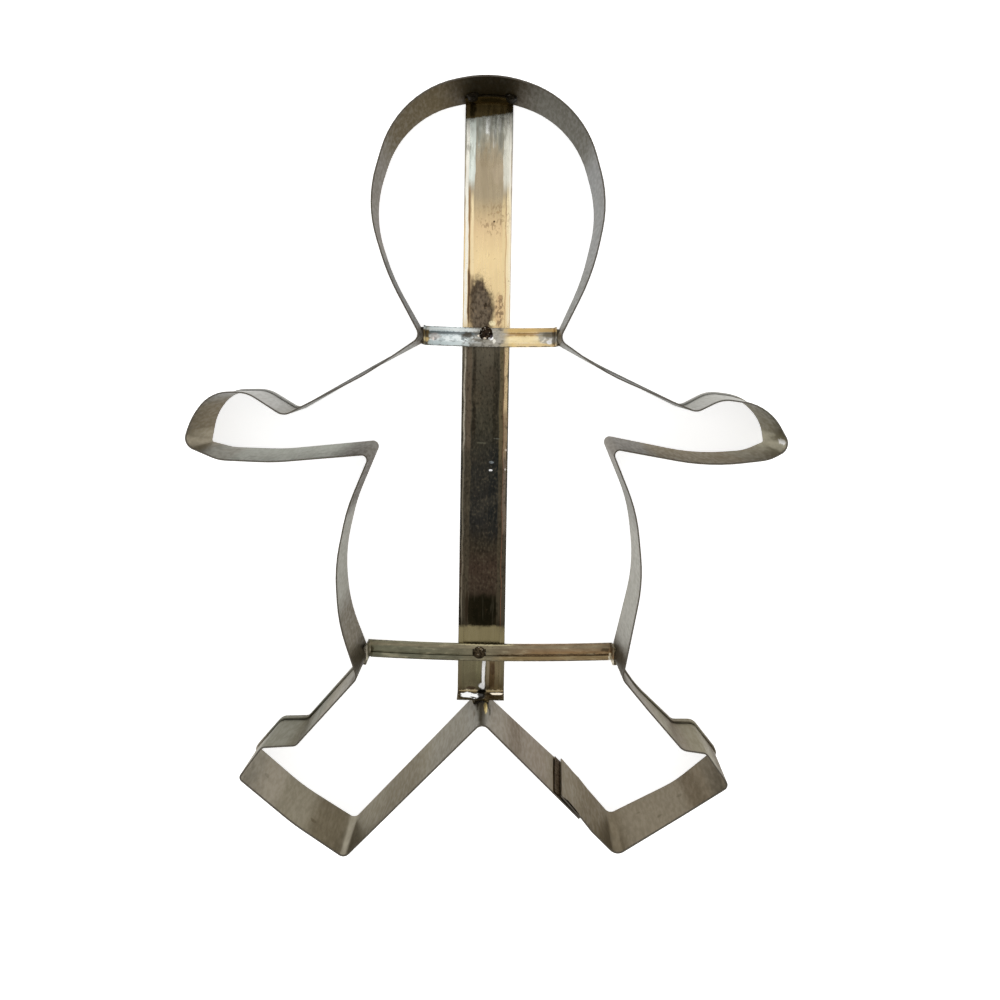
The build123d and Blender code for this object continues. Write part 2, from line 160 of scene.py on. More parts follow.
# Marks at one height on the band: place, reach, colour, strength
band_marks = [
    ((25.9, -91.4, 1.8), (0.7, 0.7, 1.7), "453e2f", 0.95),
    ((26, -91.5, 22.4), (0.8, 0.8, 2.4), "4d4833", 0.9),
    ((-0.7, -67.2, 15), (0.5, 3, 9.5), "5d5548", 0.65),
    ((-1.7, -68, 9.5), (0.35, 3, 5.5), "574f42", 0.8),
    ((-2.6, -69, 14), (0.4, 3, 5), "6e6658", 0.75),
    # Painted highlight on the right flank of the crotch's rounded ridge
    ((0.6, -67, 11), (0.5, 3, 4.6), "ffedb0", 1),
    ((1.25, -67.4, 7.5), (0.25, 3, 4), "40392c", 0.85),
    ((1.75, -68, 12.5), (0.25, 3, 3.2), "40392c", 0.85),
    ((-46.5, -97, 17), (0.9, 0.9, 0.9), "5c5340", 0.9),
    ((-60, -86, 12), (0.7, 0.7, 1.2), "5f5745", 0.35),
    ((55, -90, 12), (0.9, 0.9, 1.2), "5b513e", 0.45),
    ((49, -94, 18), (0.9, 0.9, 0.9), "5f5643", 0.5),
    ((44, -96.5, 9), (0.8, 0.8, 0.8), "665d4a", 0.5),
    ((-70, 3.4, 5), (1.2, 1.2, 2), "7c776b", 0.8),
]

# Light on the inner face of the right hand, and how far a face turns to count as an inner one
hand_light = ((79, 10.2, 21), (1.6, 0.9, 3.6))
hand_light_strength = 0.8
inner_turn = 0.2

# Dark stripe beside the lap's inner end: from, to and soft edge, how it leans, and where it fades at its foot
lap_stripe = (20.5, 22.2, 0.1)
lap_rows = (-89, -84.2, 0.2)
lap_lean_share = 0.073
lap_foot = (0.4, 3)
lap_brown = "58472e"

# Open wedge along the lap's cutting edge
lap_gap = ((23.2, -88.9, 25.4), (3, 3, 1.4))
lap_gap_edge_shares = (0.2, 0.1)
lap_gap_brown = "241b0e"
lap_strength = 0.95

# Strap: seed, roughness and how far its lines wander across and up
strap_seed = 11
strap_roughness = (0.24, 0.36)
strap_wander = (0.14, 0.2)

# Strap: painted reflections of the room above, dark under a dark thing overhead and bright near the top, as
# colours up its lower and upper stretch, and the height that parts them
strap_low_painted_reflections = [
    (-66, "6a5f47"), (-56, "6f6750"), (-50, "7d7354"), (-46.3, "7b7153"), (-45.7, "1d190f"),
    (-38, "1b180f"), (-36, "392f26"), (-29, "3e3229"), (-23, "332d24"), (-16, "292826"), (0, "2c2b27"),
    (12, "3b382e"), (24, "464136"), (34.4, "565044"),
]
strap_high_painted_reflections = [
    (40.5, "e2c99a"), (60, "ecd3a2"), (68, "dcc196"), (73, "bda985"), (77, "a89a80"), (86, "a4967f"),
    (92, "a09c8c"), (96, "a9aa9f"), (99, "c6c9bf"),
]
strap_split = 37
strap_split_soft = 1

# Soft sides and ends of the strap's upright lines, and how far a patch's edge wanders and softens
line_side = 0.12
line_end = 3.5
line_end_share = 0.12
patch_wander = 0.7
patch_edge_share = 0.25

# Upright lines on the strap, hem lines and dark lines together with painted highlights along its hems, crease
# and bend and painted reflections beside the crease: from and to across, from and to up, colour, strength.
# White ones are matt
strap_lines = [
    # Painted highlights along the hems near the top
    (-6.4, -4.7, 80, 98.5, "e2eae2", 0.9),
    (3.2, 5.2, 79, 99.5, "e0dfd2", 0.85),
    (-7.35, -6.45, 41, 98, "f3f1e6", 0.9),
    (5.0, 5.5, 41, 99, "f6f2e6", 0.8),
    (-6.3, -5.85, 41, 79, "96744f", 0.9),
    (-6.3, -5.7, 41, 56, "5c4331", 0.85),
    (-5.6, -4.9, 55, 77, "f0dcb2", 0.9),
    (3.1, 4.1, 41, 76, "e8d2a2", 0.7),
    (4.12, 4.34, 41, 74, "c09a72", 0.8),
    (4.4, 5.4, 41, 78, "f2e2bb", 0.8),
    (-5.7, -4.8, 40, 54, "7f6c55", 0.85),
    (-4.0, -3.4, 90, 98.5, "8f958c", 0.5),
    (0.4, 1.2, 91, 99, "8d8d84", 0.8),
    (1.7, 2.9, 90, 99, "8f8e83", 0.9),
    (-1.8, -0.6, 94, 98.6, "eff1ec", 0.8),
    (-7.1, -6.65, 5, 34, "b3aa9a", 0.8),
    (-7.1, -6.65, -44, 5, "756d5e", 0.8),
    (-6.5, -4.9, 4, 36, "5d5143", 0.85),
    (-6.5, -4.9, -45, 4, "463f33", 0.8),
    (-4.6, -3.7, 8, 34, "241f18", 0.75),
    (1.2, 2.9, 6, 34, "26231b", 0.7),
    (0.4, 3.0, -20, 6, "202221", 0.75),
    (3.15, 4.3, 0, 36, "61563f", 0.9),
    (3.15, 4.3, -45, 0, "453e31", 0.85),
    (4.28, 4.48, -45, 34, "8f644c", 0.6),
    (4.45, 5.4, 15, 36, "d0b88e", 0.9),
    (4.45, 5.4, 2, 16, "9a8569", 0.85),
    (4.45, 5.4, -20, 3, "76685a", 0.85),
    (4.45, 5.4, -46, -19, "4a4337", 0.85),
    # Painted reflections in the two halves beside the crease at the low end, then a painted highlight along
    # the crease and one along the bend
    (-6.6, -1.0, -64.2, -56, "6e6850", 0.8),
    (-2.6, -0.8, -62.5, -56, "7d785c", 0.6),
    (0.6, 1.3, -64, -56, "8c7f69", 0.9),
    (1.35, 3.1, -64.2, -56, "5c4a33", 0.95),
    (3.1, 4.7, -64.2, -56, "776a50", 0.85),
    (-0.62, 0.2, -64, -55.5, white, 1),
    (-7.4, 5.5, -65.5, -64.75, "e6dabf", 0.8),
]

# Patches on the strap, among them painted highlights and a painted dark reflection: place, reach, colour,
# strength. White ones are matt
strap_patches = [
    ((-0.8, 84), (3.6, 9), "a39479", 0.5),
    ((-2, 87.5), (1.3, 2.6), "95866c", 0.6),
    ((1.7, 83), (1.6, 3), "b3a48c", 0.5),
    ((-3.3, 46.6), (2.3, 7.4), "4f4437", 1),
    ((-2.1, 44.6), (3.2, 7), "4f4437", 1),
    ((-2.6, 44.4), (2.4, 6.2), "6b5f50", 0.85),
    ((-1.3, 46), (0.6, 0.9), "2b2118", 0.9),
    ((3.0, 48.4), (0.6, 0.8), "836a4e", 0.8),
    # Painted highlight where solder catches the light
    ((0.7, 41.2), (1.0, 0.7), "f4e6bb", 0.9),
    ((0.8, 69.7), (0.28, 0.28), "3f3020", 1),
    ((1.9, 72.3), (0.5, 0.4), "a58a64", 0.7),
    # Painted highlights, a white glint and a grey one
    ((0.9, -0.8), (0.5, 0.24), white, 1),
    ((1.1, 1.5), (0.7, 0.4), "7f8587", 0.8),
    ((-1.8, 7), (1.3, 0.3), "5c5a4c", 0.7),
    ((2.4, 8.3), (0.9, 0.2), "66665c", 0.7),
    ((5.2, 5.1), (0.25, 0.3), "cbbbaa", 0.9),
    ((5.1, -0.5), (0.25, 0.3), "ddd2c8", 0.9),
    ((-3.2, 20), (1.2, 3), "4a4336", 0.6),
    ((0.4, 26), (1.6, 3.5), "463f34", 0.6),
    # Painted dark reflection, part of the dark stretch reflected from overhead
    ((-0.4, -41.6), (3.6, 4.4), "14120a", 0.8),
    ((-5.4, -40.5), (0.5, 4.5), "261c12", 0.7),
    ((2.3, -58.8), (0.7, 1.4), "433120", 0.8),
    ((-3.7, -64.2), (1.5, 0.45), "47382a", 0.85),
    # Painted highlight at the low end of the crease
    ((-0.7, -63.7), (1.0, 0.8), white, 1),
]

# Mottling on the strap: its lowest and highest place and soft ends, then size, detail, drawn out shape and
# seed of its noise, then levels of the noise, colour and strength of each of its colours
strap_mottles = [
    (
        (-36, strap_split, 1),
        (0.55, 3, (1, 1.6, 1), 17),
        [(0.52, 0.7, "17150f", 0.55), (0.47, 0.3, "5d5545", 0.4)],
    ),
    ((88, 100, 3), (0.8, 4, (1, 5, 1), 19), [(0.5, 0.66, "827f72", 0.6), (0.45, 0.3, "f2f3ee", 0.3)]),
    ((strap_split, 80, 3), (0.8, 2, (1, 1, 1), 23), [(0.68, 0.76, "8a7048", 0.5)]),
]

# Burnt places on the strap: place, reach, soft and ragged share, colour and strength under the char, then the
# levels, colours and strengths of the char
char_noise = (0.6, 3, (1, 1.8, 1), 29)
strap_burns = [
    ((-2.6, 45), (3.6, 9.5), 0.3, 0.05, None, [(0.5, 0.64, "3a3025", 0.7), (0.44, 0.32, "82705a", 0.6)]),
    ((2.7, 44.6), (1.2, 4.8), 0.3, 0.1, ("cbaa80", 0.6), [(0.46, 0.6, "77614a", 0.75)]),
    ((0.8, 70.5), (4.2, 4.5), 0.4, 0.1, None, [(0.5, 0.62, "8f7658", 0.6)]),
]

# Strap's middle line, and its outer sides and the upper edge of its tabs, along which dark lines are painted
# as the dark that these edges reflect
strap_middle = -0.97
strap_sides = (6.55, 6.66)
strap_side_dark_reflection = "6d6a60"
strap_side_strength = 0.75
tab_top = (7.35, 7.45)
tab_top_turn = (0.5, 0.9)
tab_top_dark_reflection = "4a4233"
tab_top_strength = 0.9

# Top tab: line where its brown starts, soft edge and lean, then marks: place, reach, colour, strength
top_brown_line = 98.95
top_brown_soft = 0.5
top_brown_lean_share = 0.155
top_brown = "67593a"
top_brown_edge_shares = (0.35, 0.25)
top_brown_marks = [
    ((0.2, 102.9, 4), (4.2, 1.2, 2.2), "3f3824", 0.9),
    ((-5.6, 101, 0.4), (0.8, 2.6, 2), "221c10", 0.8),
    ((5.0, 101.6, 0.4), (0.8, 1.8, 2), "332a1a", 0.7),
    ((0, 101.7, 0.6), (4.5, 0.3, 0.9), "5e5234", 0.8),
]

# Low tab: line where it starts, soft edge and foot, colours of the painted highlights that shine, then marks
# as on the top tab, the white and cream ones painted highlights
low_tab_line = -64.9
low_tab_soft = 0.12
low_tab_foot = (0.55, 0.9)
low_tab_colour = "857a66"
low_tab_highlights = (white, "fff2dc")
low_tab_edge_shares = (0.2, 0.3)
low_tab_marks = [
    # Painted highlights on the tab's face, white and cream
    ((-5.1, -65.2, 4.0), (1.7, 2, 2.3), white, 1),
    ((-2.2, -65.2, 4.6), (1.7, 2, 2.4), white, 1),
    ((3.6, -65.2, 2.8), (1.9, 2, 0.9), "fff2dc", 1),
    ((3.0, -65.2, 5.8), (2.6, 2, 1.3), "7d725f", 0.9),
    ((-0.8, -65.2, 0.9), (1.1, 2, 1.7), "1c1810", 1),
    ((1.2, -65.2, 3.6), (0.8, 2, 1.2), "51432f", 0.9),
]

# Dark knot of solder at the middle of the low tab: place and reach
knot = ((-0.8, -65.4), (1.1, 0.6))
knot_edge_shares = (0.2, 0.35)
knot_colour = "1c1810"
knot_strength = 0.95

# Braces, with lengths in millimetres. The row is the height of a brace's middle line, and the sag of that
# line has a middle, a half length, a depth and a kind of curve. Rows, measured from that line, and stretches
# along the brace have a start, an end and a soft edge, and sides and ends only a start and an end. Clouds are
# noises: size, detail, drawn out shape, seed and levels. A layer is a colour and a strength, where all the
# masks that it names meet. Marks have a place, a reach, a soft and a ragged share, a colour and a strength.
neck_tin = {
    "seed": 21,
    "roughness": (0.28, 0.4),
    "wander": (0.6, 0.12),
    "row": 37.37,
    "sag": (0, 18.5, 0.3, "SMOOTHSTEP"),
    "colours": [
        (-18, "c3d0d2"), (-8, "cdd7d7"), (-4, "918f87"), (3, "a39d90"), (6.5, "dec38a"), (19, "e8cf9f"),
    ],
    "rows": {
        "valley": (0.45, 1.3, 0.12),
        "floor": (-1.6, 0.2, 0.25),
        "left rim": (1.6, 2.3, 0.15),
        "right rim": (1.5, 2.4, 0.15),
    },
    "sides": {"left": (-2, -5), "right": (3.5, 6)},
    "ends": {"right end": (12, 17)},
    "stretches": {"middle": (-4.5, 3.6, 1), "sooty": (-7.5, 4, 1)},
    "clouds": {
        "blots": (1.5, 3, (1.4, 1, 1), 24, 0.42, 0.55),
        "soot": (1.2, 3, (1.4, 1, 1), 27, 0.47, 0.36),
        "murk": (0.9, 3, (1.3, 1, 1), 26, 0.5, 0.62),
    },
    "under_layers": [
        ("566165", 0.85, "valley", "left"),
        ("9a7647", 0.8, "valley", "right"),
        ("f1f8f8", 0.9, "floor", "left", "blots"),
        ("616b6e", 0.75, "floor", "left", "soot"),
        ("f9e6b6", 0.9, "floor", "right"),
        (white, 0.8, "floor", "right end", "blots"),
        ("8f8a7e", 0.5, "floor", "middle"),
        ("5b564d", 0.75, "sooty", "murk"),
    ],
    "marks": [
        ((-17.9, 37.4), (1.0, 2.6), 0.3, 0.3, "6f5d38", 0.95),
        ((-17.7, 36.3), (0.6, 0.6), 0.3, 0.3, "e6d3a2", 0.9),
        ((-15.6, 37.0), (1.5, 0.9), 0.3, 0.3, "b3a29a", 0.5),
        ((-15.9, 36.5), (0.3, 0.5), 0.3, 0.3, "fff4ee", 0.9),
        ((14.8, 37.5), (1.2, 1.4), 0.3, 0.3, "9a9484", 0.8),
        ((16.4, 39.0), (2.6, 0.9), 0.3, 0.3, "9b9585", 0.8),
        ((16.9, 37.9), (1.6, 1.1), 0.3, 0.3, "777264", 0.9),
        ((16.0, 36.2), (0.8, 0.6), 0.3, 0.3, "b6b0a2", 0.8),
        ((17.0, 36.0), (0.7, 0.5), 0.3, 0.3, white, 0.95),
        ((18.2, 37.2), (0.5, 2), 0.3, 0.3, "57503f", 0.8),
        ((-6.2, 37.7), (1.7, 0.75), 0.25, 0.3, "4f4b44", 0.9),
        # Painted highlights by the dome
        ((-2.3, 37.5), (0.9, 0.35), 0.25, 0.3, "fff3e0", 0.9),
        ((0.6, 36.9), (0.7, 0.5), 0.25, 0.35, white, 0.95),
        ((1.3, 36), (0.45, 0.7), 0.25, 0.35, "f3efe2", 0.9),
    ],
    "upper_layers": [
        ("e8ecea", 0.6, "left rim", "left"),
        ("d0ae70", 0.8, "right rim", "right"),
    ],
    "wear": ("5d5a50", white, (7, 1, 1), 0.5, 25),
    # Painted dark reflection along the long edges: from, to, colour, strength
    "edge": (2.5, 2.62, "57534a", 0.85),
}
hip_tin = {
    "seed": 31,
    "roughness": (0.3, 0.44),
    "wander": (0.6, 0.1),
    "row": -52.65,
    "sag": (1.6, 35, 0.8, "LINEAR"),
    "colours": [
        (-34, "74735f"), (-20, "6c6b59"), (-6, "746f5b"), (4, "776d58"), (14, "846f55"), (37, "937f64"),
    ],
    "rows": {
        "rim": (1.95, 2.35, 0.08),
        "upper": (1.0, 1.9, 0.3),
        "line": (-1.05, -0.7, 0.1),
        "floor": (-0.7, 0.1, 0.3),
        "lower": (-2.2, -1.2, 0.2),
    },
    "sides": {"left": (-5, -8), "right": (2, 5)},
    "ends": {"right end": (5, 22)},
    "stretches": {"middle": (-8, 8, 1.5)},
    "clouds": {},
    "under_layers": [
        ("c0b692", 0.9, "rim", "middle"),
        ("8f8a72", 0.6, "rim", "left"),
        ("8d836c", 0.6, "upper"),
        ("463823", 0.9, "line", "right"),
        ("565340", 0.6, "line", "left"),
        ("8b6a42", 0.5, "floor", "right end"),
        ("8d7a55", 0.6, "lower", "right"),
        ("6c6b5c", 0.6, "lower", "left"),
    ],
    "marks": [
        ((-32.9, -53.4), (0.9, 1.6), 0.25, 0.3, "45402f", 0.9),
        # The next two are painted highlights on the bends of the end tabs
        ((-33.4, -52.4), (0.45, 2.4), 0.3, 0.25, "d9d2bd", 0.8),
        ((36.2, -54.4), (0.5, 1.3), 0.3, 0.35, "ece4cf", 0.8),
        ((34.8, -52.2), (1.2, 0.8), 0.3, 0.35, "4c3f2c", 0.7),
    ],
    "upper_layers": [],
    "wear": ("443b2b", "c9bf9f", (4, 1, 1), 0.8, 35),
    # Painted dark reflection along the long edges: from, to, colour, strength
    "edge": (2.3, 2.4, "4d4839", 0.85),
}

# Solder: node, colour, dark blots, light blots, strength of the glints
solder_colours = [
    ("top_left_weld", "1f190f", "120d07", "3f3424", 0.1),
    ("top_right_weld", "1c170e", "100c06", "372c1b", 0.1),
    ("neck_dome_solder", "35291f", "1a1310", "7a6654", 0.9),
    ("hip_dome_solder", "4b4030", "211a10", "8a7858", 0.8),
    ("neck_left_solder", "6b6357", "3b3226", "b3aa98", 0.6),
    ("neck_right_solder", "6f6757", "423a2a", "b0a78f", 0.6),
    ("hip_left_solder", "8d8674", "3c3426", "e6dfca", 0.9),
    ("hip_right_solder", "84795f", "443a28", "e4dabd", 0.9),
    ("crotch_solder", "3d3526", "1f190f", "8a7c5c", 0.5),
    ("neck_pad_solder", "77715f", "4a4436", "a8a18c", 0.5),
    ("hip_pad_solder", "77715f", "4a4436", "a8a18c", 0.5),
    ("lap_solder", "4c3e29", "35291a", "5c4e38", 0),
]

# Marks on solder: place, reach, colour, strength
solder_marks = {
    "neck_dome_solder": [
        # Painted highlights on the dome's lower side
        ((-1.3, 36.75), (0.6, 0.35), "fff1dc", 1),
        ((0.0, 36.6), (0.5, 0.4), white, 1),
        ((0.9, 37.2), (0.6, 0.5), "5f5660", 0.9),
        ((-0.6, 36.3), (0.9, 0.3), "8c857b", 0.9),
    ],
}
solder_mark_edge_shares = (0.25, 0.3)

# Blots and glints of solder: size, detail and step of the seed, then levels and strengths of their colours
blot_noise = (0.8, 4, 1)
blot_dark = (0.48, 0.6, 0.85)
blot_light = (0.4, 0.28, 0.7)
blot_depth = 0.35
glint_noise = (0.5, 2, 2)
glint_levels = (0.64, 0.72)
glint_colour = "f2ead8"
glint_depth = 0.12
solder_first_seed = 41
solder_roughness = (0.4, 0.62)
solder_metal_share = 0.85


def rgb(text):
    """A written colour such as 8a877f as the linear numbers that a shader takes."""
    linear = []
    for k in (0, 2, 4):
        part = int(text[k:k + 2], 16) / 255
        if part <= curve_start:
            linear.append(part / curve_slope)
        else:
            linear.append(((part + curve_offset) / (1 + curve_offset)) ** curve_power)
    return (*linear, 1)


def is_socket(value):
    return isinstance(value, bpy.types.NodeSocket)


class Finish:
    """The nodes of one metal finish, with all its lengths in millimetres of the model's frame."""

    def __init__(self, name, seed):
        self.material = bpy.data.materials.new(name)
        self.material.use_nodes = True
        self.tree = self.material.node_tree
        self.tree.nodes.clear()
        self.shader = self.node("ShaderNodeBsdfPrincipled")
        output = self.node("ShaderNodeOutputMaterial")
        self.join(self.shader.outputs["BSDF"], output.inputs["Surface"])
        metres = self.node("ShaderNodeTexCoord").outputs["Object"]
        grown = self.node("ShaderNodeVectorMath", operation="SCALE")
        self.join(metres, grown.inputs[0])
        grown.inputs["Scale"].default_value = 1 / millimetre
        self.place = grown.outputs[0]
        axes = self.node("ShaderNodeSeparateXYZ")
        self.join(self.place, axes.inputs[0])
        self.x, self.y, self.z = axes.outputs
        facing = self.node("ShaderNodeSeparateXYZ")
        self.join(self.node("ShaderNodeNewGeometry").outputs["Normal"], facing.inputs[0])
        self.face_x = facing.outputs["X"]
        self.face_z = facing.outputs["Z"]
        self.colour = rgb(white)
        self.seed = seed
        self.bumps = []
        # Masks of the painted highlights that shine, are matt or face upward, and of the marks that keep
        # their own colour at a slant
        self.shine = 0.0
        self.matt = 0.0
        self.raised = 0.0
        self.deep = 0.0
        self.wobble = self.fade(self.noise(*edge_waves, seed=seed), *noise_levels, -1, 1)

    def node(self, kind, **settings):
        made = self.tree.nodes.new(kind)
        for key, value in settings.items():
            setattr(made, key, value)
        return made

    def join(self, value, socket):
        if is_socket(value):
            self.tree.links.new(value, socket)
        else:
            socket.default_value = value

    def math(self, operation, *values):
        made = self.node("ShaderNodeMath", operation=operation)
        for value, socket in zip(values, made.inputs):
            self.join(value, socket)
        return made.outputs[0]

    def product(self, first, *others):
        for other in others:
            first = self.math("MULTIPLY", first, other)
        return first

    def larger(self, first, second):
        return self.math("MAXIMUM", first, second)

    def fade(self, value, start, end, low=0.0, high=1.0, kind="SMOOTHSTEP"):
        """Rises from low to high as value goes from start to end."""
        made = self.node("ShaderNodeMapRange", interpolation_type=kind)
        given = {"Value": value, "From Min": start, "From Max": end, "To Min": low, "To Max": high}
        for key, level in given.items():
            self.join(level, made.inputs[key])
        return made.outputs[0]

    def between(self, value, low, high, soft):
        """One where value is between low and high, and zero outside."""
        rise = self.fade(value, low - soft, low + soft)
        fall = self.fade(value, high + soft, high - soft)
        return self.product(rise, fall)

    def noise(self, size, detail, stretch=(1, 1, 1), seed=0):
        """Cloudy values round a half, with clouds of that size, drawn out by stretch."""
        drawn = self.node("ShaderNodeMapping")
        self.join(self.place, drawn.inputs["Vector"])
        drawn.inputs["Location"].default_value = (seed, seed, seed)
        drawn.inputs["Scale"].default_value = [1 / (size * s) for s in stretch]
        made = self.node("ShaderNodeTexNoise")
        self.join(drawn.outputs[0], made.inputs["Vector"])
        made.inputs["Scale"].default_value = 1
        made.inputs["Detail"].default_value = detail
        return made.outputs["Fac"]

    def spot(self, at, half, soft, ragged):
        """An oval round a place, upright through the metal where no height is given."""
        scale = [1 / h for h in half] + [0] * (3 - len(half))
        shift = [-a / h for a, h in zip(at, half)] + [0] * (3 - len(half))
        near = self.node("ShaderNodeVectorMath", operation="MULTIPLY_ADD")
        self.join(self.place, near.inputs[0])
        near.inputs[1].default_value = scale
        near.inputs[2].default_value = shift
        reach = self.node("ShaderNodeVectorMath", operation="LENGTH")
        self.join(near.outputs[0], reach.inputs[0])
        edge = self.math("MULTIPLY_ADD", self.wobble, ragged, reach.outputs["Value"])
        return self.fade(edge, 1 + soft, 1 - soft)

    def bar(self, left, right, low, high):
        """An upright bar, sharp at its sides and fading at its ends, a long one more slowly."""
        soft_end = min(line_end, line_end_share * (high - low))
        sides = self.between(self.uneven_x, left, right, line_side)
        ends = self.between(self.uneven_y, low, high, soft_end)
        return self.product(sides, ends)

    def uneven(self, across, up):
        """Coordinates that wander a little, for lines that aren't ruled."""
        size, detail, stretch, step = slow_waves
        slow = self.noise(size, detail, stretch, self.seed + step)
        size, detail, stretch, step = quick_waves
        quick = self.noise(size, detail, stretch, self.seed + step)
        self.uneven_x = self.math("ADD", self.x, self.fade(slow, *noise_levels, -across, across))
        self.uneven_y = self.math("ADD", self.y, self.fade(quick, *noise_levels, -up, up))

    def tint(self, colour, mask, strength=1.0):
        """Lays a colour over what is there, where the mask is one."""
        made = self.node("ShaderNodeMix", data_type="RGBA")
        self.join(self.product(mask, strength), made.inputs["Factor"])
        self.join(self.colour, made.inputs["A"])
        self.join(colour if is_socket(colour) else rgb(colour), made.inputs["B"])
        self.colour = made.outputs["Result"]

    def spots(self, rows, edge_shares):
        """Lays the spots of a table over what is there."""
        for at, half, colour, strength in rows:
            self.tint(colour, self.spot(at, half, *edge_shares), strength)

    def mottle(self, mask, noise, rows):
        """Lays colours over what is under the mask, each between two levels of a noise."""
        for start, end, colour, strength in rows:
            self.tint(colour, self.product(mask, self.fade(noise, start, end)), strength)

    def layers(self, masks, rows):
        """Lays each colour of a table where all the masks that its row names meet."""
        for colour, strength, *names in rows:
            self.tint(colour, self.product(*[masks[name] for name in names]), strength)

    def stripes(self, value, colours):
        """A run of colours along value, each at its own place in millimetres."""
        start = colours[0][0]
        end = colours[-1][0]
        made = self.node("ShaderNodeValToRGB")
        ramp = made.color_ramp
        for k, (place, colour) in enumerate(colours):
            stop = ramp.elements[k] if k < 2 else ramp.elements.new(1)
            stop.position = (place - start) / (end - start)
            stop.color = rgb(colour)
        self.join(self.fade(value, start, end, kind="LINEAR"), made.inputs[0])
        return made.outputs[0]

    def bump(self, height, depth):
        """Relief from a height mask, that many millimetres deep."""
        self.bumps.append((height, depth))

    def relief(self):
        """The surface's own normal with every relief on it, turned upward where a mark is raised."""
        normal = None
        for height, depth in self.bumps:
            made = self.node("ShaderNodeBump")
            self.join(height, made.inputs["Height"])
            made.inputs["Distance"].default_value = depth * millimetre
            if normal:
                self.join(normal, made.inputs["Normal"])
            normal = made.outputs[0]
        if is_socket(self.raised):
            upward = self.node("ShaderNodeCombineXYZ")
            self.join(self.raised, upward.inputs["Z"])
            turned = self.node("ShaderNodeVectorMath", operation="ADD")
            self.join(normal, turned.inputs[0])
            self.join(upward.outputs[0], turned.inputs[1])
            even = self.node("ShaderNodeVectorMath", operation="NORMALIZE")
            self.join(turned.outputs[0], even.inputs[0])
            normal = even.outputs[0]
        return normal

    def done(self, roughness, metallic=1.0):
        """Joins the colour, masks and relief to the shader, once all layers are laid."""
        if is_socket(self.shine):
            roughness = self.product(roughness, self.math("MULTIPLY_ADD", self.shine, -shine_share, 1))
        if is_socket(self.matt):
            metallic = self.math("SUBTRACT", metallic, self.matt)
        slant = self.node("ShaderNodeMix", data_type="RGBA")
        slant.inputs["Factor"].default_value = slant_share
        if is_socket(self.deep):
            self.join(self.fade(self.deep, 0, 1, slant_share, 1), slant.inputs["Factor"])
        slant.inputs["A"].default_value = rgb(white)
        self.join(self.colour, slant.inputs["B"])
        self.join(self.colour, self.shader.inputs["Base Color"])
        self.join(slant.outputs["Result"], self.shader.inputs["Specular Tint"])
        self.join(roughness, self.shader.inputs["Roughness"])
        self.join(metallic, self.shader.inputs["Metallic"])
        self.join(self.relief(), self.shader.inputs["Normal"])
        return self.material


def dress(node, material):
    """Gives a node's every face one finish."""
    mesh = nodes[node].data
    mesh.materials.clear()
    mesh.materials.append(material)


def wear(finish, dark, light, along, share, seed):
    """Clouds, drawn streaks, grain and specks over a finish, as strong as the share."""
    noises = {}
    for name, size, detail, step, levels in wear_layers:
        stretch = along if name == "streaks" else (1, 1, 1)
        noises[name] = finish.noise(size, detail, stretch, seed + step)
        for colour, (start, end, strength) in zip((dark, light), levels):
            finish.tint(colour, finish.fade(noises[name], start, end), strength * share)
    finish.bump(noises["streaks"], streak_depth)
    finish.bump(noises["clouds"], cloud_depth)
    return finish.fade(noises["streaks"], *noise_levels)


def band_finish():
    made = Finish("band tin", band_seed)
    made.colour = rgb(band_tin)
    for x, y, reach_x, reach_y, colour in band_zones:
        made.tint(colour, made.spot((x, y), (reach_x, reach_y), *zone_edge_shares))
    for x, y, reach_x, reach_y, colour, strength in band_stains:
        made.tint(colour, made.spot((x, y), (reach_x, reach_y), *stain_edge_shares), strength)
    grain = wear(made, *band_wear)
    made.spots(band_marks, mark_edge_shares)
    inner = made.fade(made.face_x, inner_turn, -inner_turn)
    hand = made.spot(*hand_light, *mark_edge_shares)
    made.tint(white, made.product(hand, inner), hand_light_strength)
    leaning = made.math("MULTIPLY_ADD", made.z, lap_lean_share, made.x)
    stripe = made.product(made.between(leaning, *lap_stripe), made.between(made.y, *lap_rows))
    made.tint(lap_brown, made.product(stripe, made.fade(made.z, *lap_foot)), lap_strength)
    gap = made.spot(*lap_gap, *lap_gap_edge_shares)
    made.tint(lap_gap_brown, gap, lap_strength)
    made.deep = made.larger(stripe, gap)
    # Painted dark reflection along the cutting edge, and the foot laid darker
    edge = made.fade(made.z, band_top - band_edge, band_top - band_edge / 2)
    made.tint(edge_dark, edge, band_edge_strength)
    made.tint(edge_dark, made.fade(made.z, band_foot, 0), band_foot_strength)
    return made.done(made.fade(grain, 0, 1, *band_roughness))


def strap_tabs(made):
    """The brown stretch and marks of the top tab, and the painted highlights, marks and knot of the low one.
    """
    leaning = made.math("MULTIPLY_ADD", made.x, -top_brown_lean_share, made.uneven_y)
    made.tint(top_brown, made.fade(leaning, top_brown_line, top_brown_line + top_brown_soft))
    made.spots(top_brown_marks, top_brown_edge_shares)
    tab = made.fade(made.y, low_tab_line, low_tab_line - low_tab_soft)
    tab = made.product(tab, made.fade(made.z, *low_tab_foot))
    made.tint(low_tab_colour, tab)
    for at, half, colour, strength in low_tab_marks:
        mask = made.product(made.spot(at, half, *low_tab_edge_shares), tab)
        made.tint(colour, mask, strength)
        if colour in low_tab_highlights:
            made.shine = made.larger(made.shine, mask)
            made.raised = made.larger(made.raised, mask)
    made.tint(knot_colour, made.spot(*knot, *knot_edge_shares), knot_strength)


